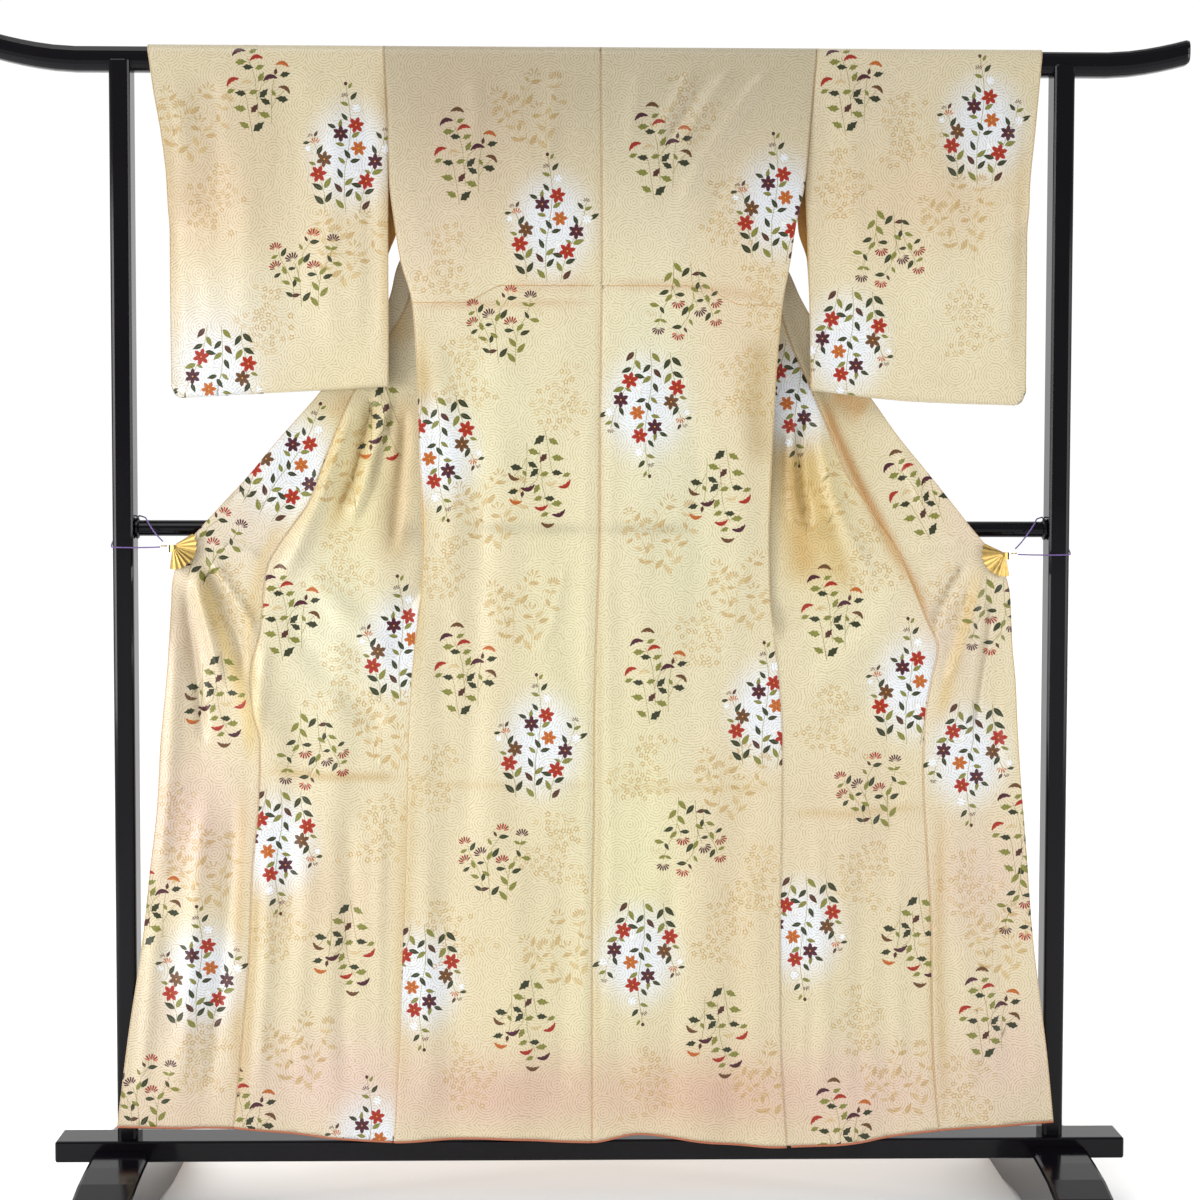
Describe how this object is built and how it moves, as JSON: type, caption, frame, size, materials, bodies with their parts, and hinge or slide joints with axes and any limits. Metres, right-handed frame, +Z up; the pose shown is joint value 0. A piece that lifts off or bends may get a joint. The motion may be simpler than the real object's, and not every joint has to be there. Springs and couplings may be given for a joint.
{
  "type": "komon kimono on a lacquered kimono stand",
  "caption": "Small-pattern silk kimono spread from the back on a black lacquered stand with bar, posts, board and arched feet.",
  "frame": {"origin": "centre of the bounding box on the floor, under the top bar", "axes": "+Z up, +X to the right as the back of the kimono is seen, the kimono's back faces -Y"},
  "size_m": [1.714, 0.6, 1.7133],
  "materials": {
    "silk": "pale yellow figured satin silk with small flower sprays",
    "lining": "plain orange silk lining and piped hem",
    "lacquer": "wood under glossy black lacquer",
    "gold": "gilt brass, pleated",
    "cord": "twisted purple cord"
  },
  "bodies": {
    "root": {"back_left": "silk", "back_right": "silk", "front_left": "silk", "front_right": "silk", "overlap_left": "silk", "overlap_right": "silk", "sleeve_left": "silk", "sleeve_right": "silk", "collar": "silk", "hem_back_left": "lining", "hem_back_right": "lining", "hem_front_left": "lining", "hem_front_right": "lining", "hem_overlap_left": "lining", "hem_overlap_right": "lining", "top_bar": "lacquer", "crossbar": "lacquer", "base_board": "lacquer", "post_left": "lacquer", "post_right": "lacquer", "foot_left": "lacquer", "foot_right": "lacquer", "clip_fan_left": "gold", "clip_fan_right": "gold", "clip_jaw_left": "gold", "clip_jaw_right": "gold", "clip_ring_left": "gold", "clip_ring_right": "gold", "cord_left": "cord", "cord_right": "cord"}
  },
  "joints": []
}
